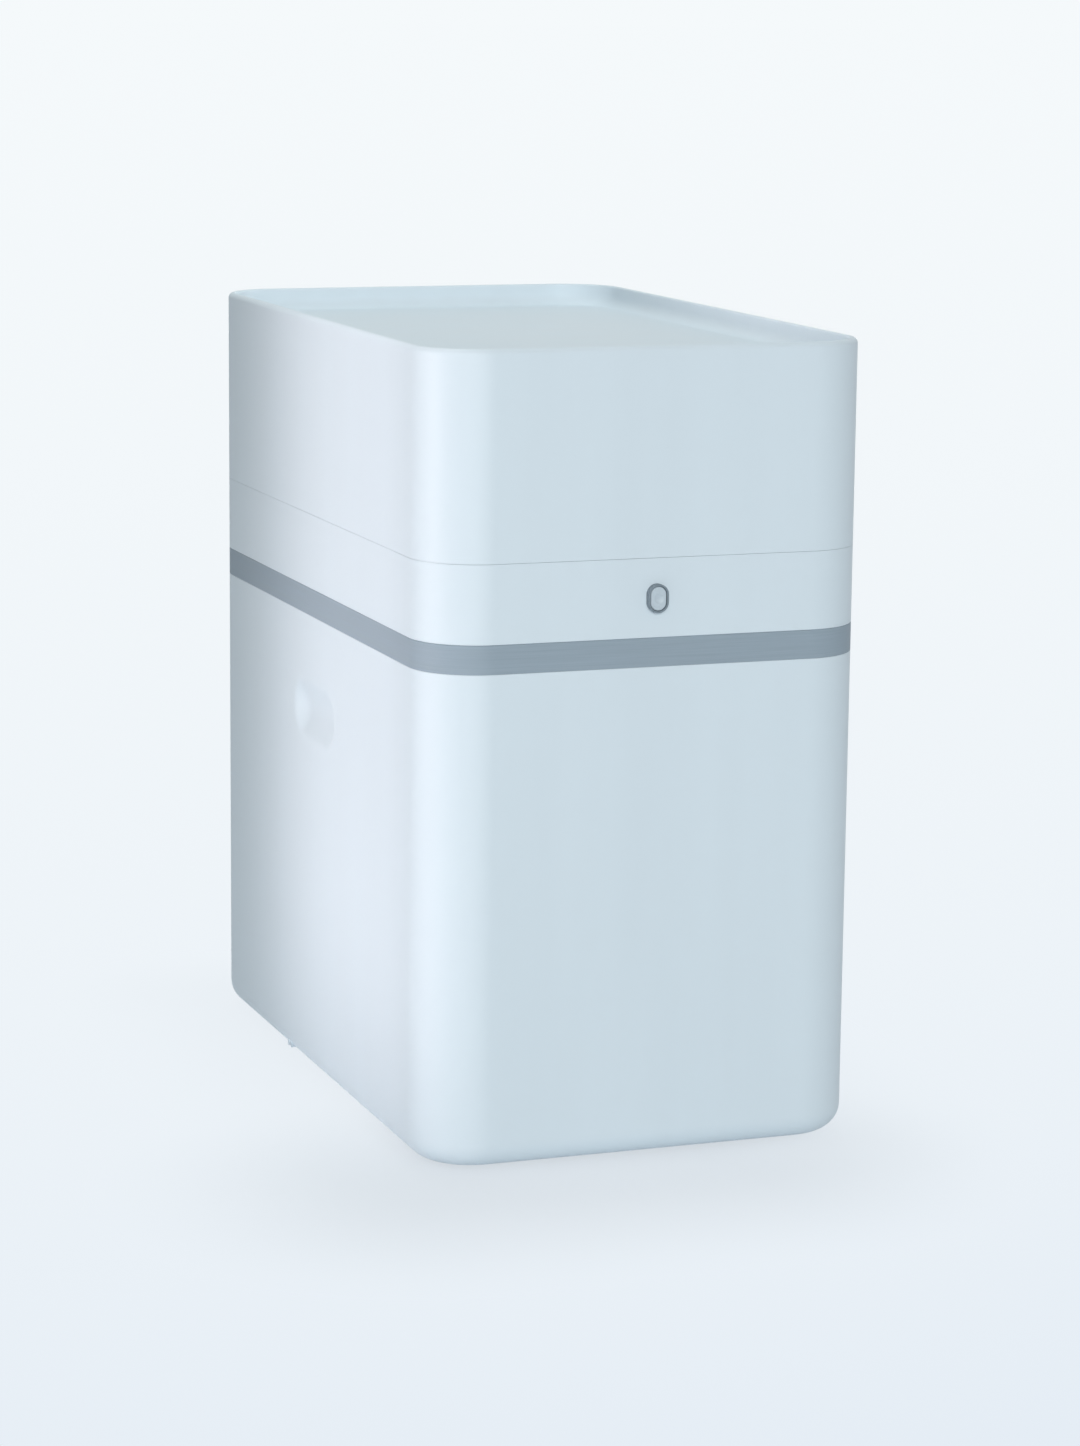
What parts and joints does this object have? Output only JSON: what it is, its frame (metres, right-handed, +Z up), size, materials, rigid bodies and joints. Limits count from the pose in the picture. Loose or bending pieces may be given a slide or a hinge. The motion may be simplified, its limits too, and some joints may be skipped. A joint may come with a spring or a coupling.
{
  "type": "water softener",
  "caption": "Compact cabinet water softener: white rounded casing, grey trim band, hinged hood with a dished top, push-button catch, resin vessels and brine works inside.",
  "frame": {"origin": "on the floor, under the middle of the whole object's box", "axes": "+Z up, -Y is the front with the button, +X to the right when seen from the front"},
  "size_m": [0.29, 0.5124, 0.51],
  "materials": {
    "casing_white": "satin moulded white",
    "band_grey": "satin moulded grey",
    "bezel_dark": "satin dark grey",
    "button_pale": "satin pale grey",
    "rubber_black": "matt black",
    "hinge_grey": "powder coated",
    "steel": "zinc plated",
    "float_rod_steel": "drawn stainless",
    "acetal_white": "natural acetal",
    "latch_dark": "moulded dark grey",
    "brine_plastic": "natural polyethylene",
    "cap_grey": "moulded grey",
    "head_dark": "glass filled black",
    "cover_pale": "moulded pale grey",
    "float_blue": "closed cell blue",
    "vessel_blue": "wound glass fibre",
    "resin_amber": "resin beads",
    "tube_white": "extruded tube",
    "brass": "turned brass",
    "handle_blue": "moulded blue"
  },
  "bodies": {
    "root": {"cabinet": "casing_white", "feet": "rubber_black", "trim_band": "band_grey", "collar": "casing_white", "collar_screws": "steel", "lid_gasket": "rubber_black", "hinge_brackets": "hinge_grey", "hinge_pins": "steel", "bracket_screws": "steel", "button_bezel": "bezel_dark", "latch_bracket": "latch_dark", "latch_pin": "steel", "latch_spring": "steel", "salt_grid": "brine_plastic", "salt_partition": "brine_plastic", "brine_well": "brine_plastic", "brine_well_cap": "cap_grey", "brine_valve": "head_dark", "brine_tube": "tube_white", "brine_nut": "head_dark", "overflow_spigot": "head_dark", "overflow_seal": "rubber_black", "overflow_nut": "head_dark", "vessel_cradle": "head_dark", "resin_vessel_left": "vessel_blue", "resin_vessel_right": "vessel_blue", "resin_bed_left": "resin_amber", "resin_bed_right": "resin_amber", "riser_tubes": "tube_white", "lower_strainers": "cap_grey", "upper_strainers": "cap_grey", "neck_seals": "rubber_black", "neck_clamps": "steel", "head_manifold": "head_dark", "meter_plug": "cap_grey", "head_cover": "cover_pale", "cover_screws": "steel", "port_block": "head_dark", "plug_glands": "brass", "water_pipes": "tube_white", "drain_pipe": "tube_white", "drain_spigot": "head_dark", "port_nuts": "brass"},
    "lid": {"lid_hood": "casing_white", "lid_striker": "steel", "hinge_straps": "hinge_grey", "strap_screws": "steel"},
    "button": {"release_button": "button_pale"},
    "latch": {"latch_hook": "latch_dark"},
    "float": {"brine_float": "float_blue", "float_rod": "float_rod_steel"},
    "inlet_valve": {"inlet_plug": "brass", "inlet_handle": "handle_blue"},
    "outlet_valve": {"outlet_plug": "brass", "outlet_handle": "handle_blue"},
    "index": {"valve_disc": "acetal_white", "index_gear": "acetal_white", "index_knob": "handle_blue"},
    "meter": {"meter_turbine": "acetal_white", "meter_pinion": "brass"}
  },
  "joints": [
    {"name": "lid_hinge", "type": "hinge", "parent": "root", "child": "lid", "pos_m": [0, 0.23425, 0.3812], "axis": [-1, 0, 0], "range_deg": [0, 95]},
    {"name": "button_press", "type": "slide", "parent": "root", "child": "button", "axis": [0, 1, 0], "range_m": [0, 0.003], "stiffness_N_per_m": 400, "springref_m": -0.002},
    {"name": "latch_swing", "type": "hinge", "parent": "root", "child": "latch", "pos_m": [0, -0.23255, 0.3705], "axis": [1, 0, 0], "range_deg": [0, 12], "deforming": ["latch_spring"]},
    {"name": "float_lift", "type": "slide", "parent": "root", "child": "float", "axis": [0, 0, 1], "range_m": [0, 0.045]},
    {"name": "inlet_turn", "type": "hinge", "parent": "root", "child": "inlet_valve", "pos_m": [0.04, 0.20105, 0.3565], "axis": [0, 0, 1], "range_deg": [0, 90]},
    {"name": "outlet_turn", "type": "hinge", "parent": "root", "child": "outlet_valve", "pos_m": [-0.04, 0.20105, 0.3565], "axis": [0, 0, 1], "range_deg": [0, 90]},
    {"name": "index_turn", "type": "hinge", "parent": "root", "child": "index", "pos_m": [0, 0.11805, 0.3565], "axis": [0, 0, 1], "continuous": true},
    {"name": "meter_spin", "type": "hinge", "parent": "root", "child": "meter", "pos_m": [0.04515, 0.11805, 0.3565], "axis": [0, 0, 1], "continuous": true}
  ],
  "couplings": [
    {"joint": "latch_swing", "follows": "button_press", "rad_per_m": 69.81},
    {"joint": "meter_spin", "follows": "index_turn", "ratio": -5}
  ]
}
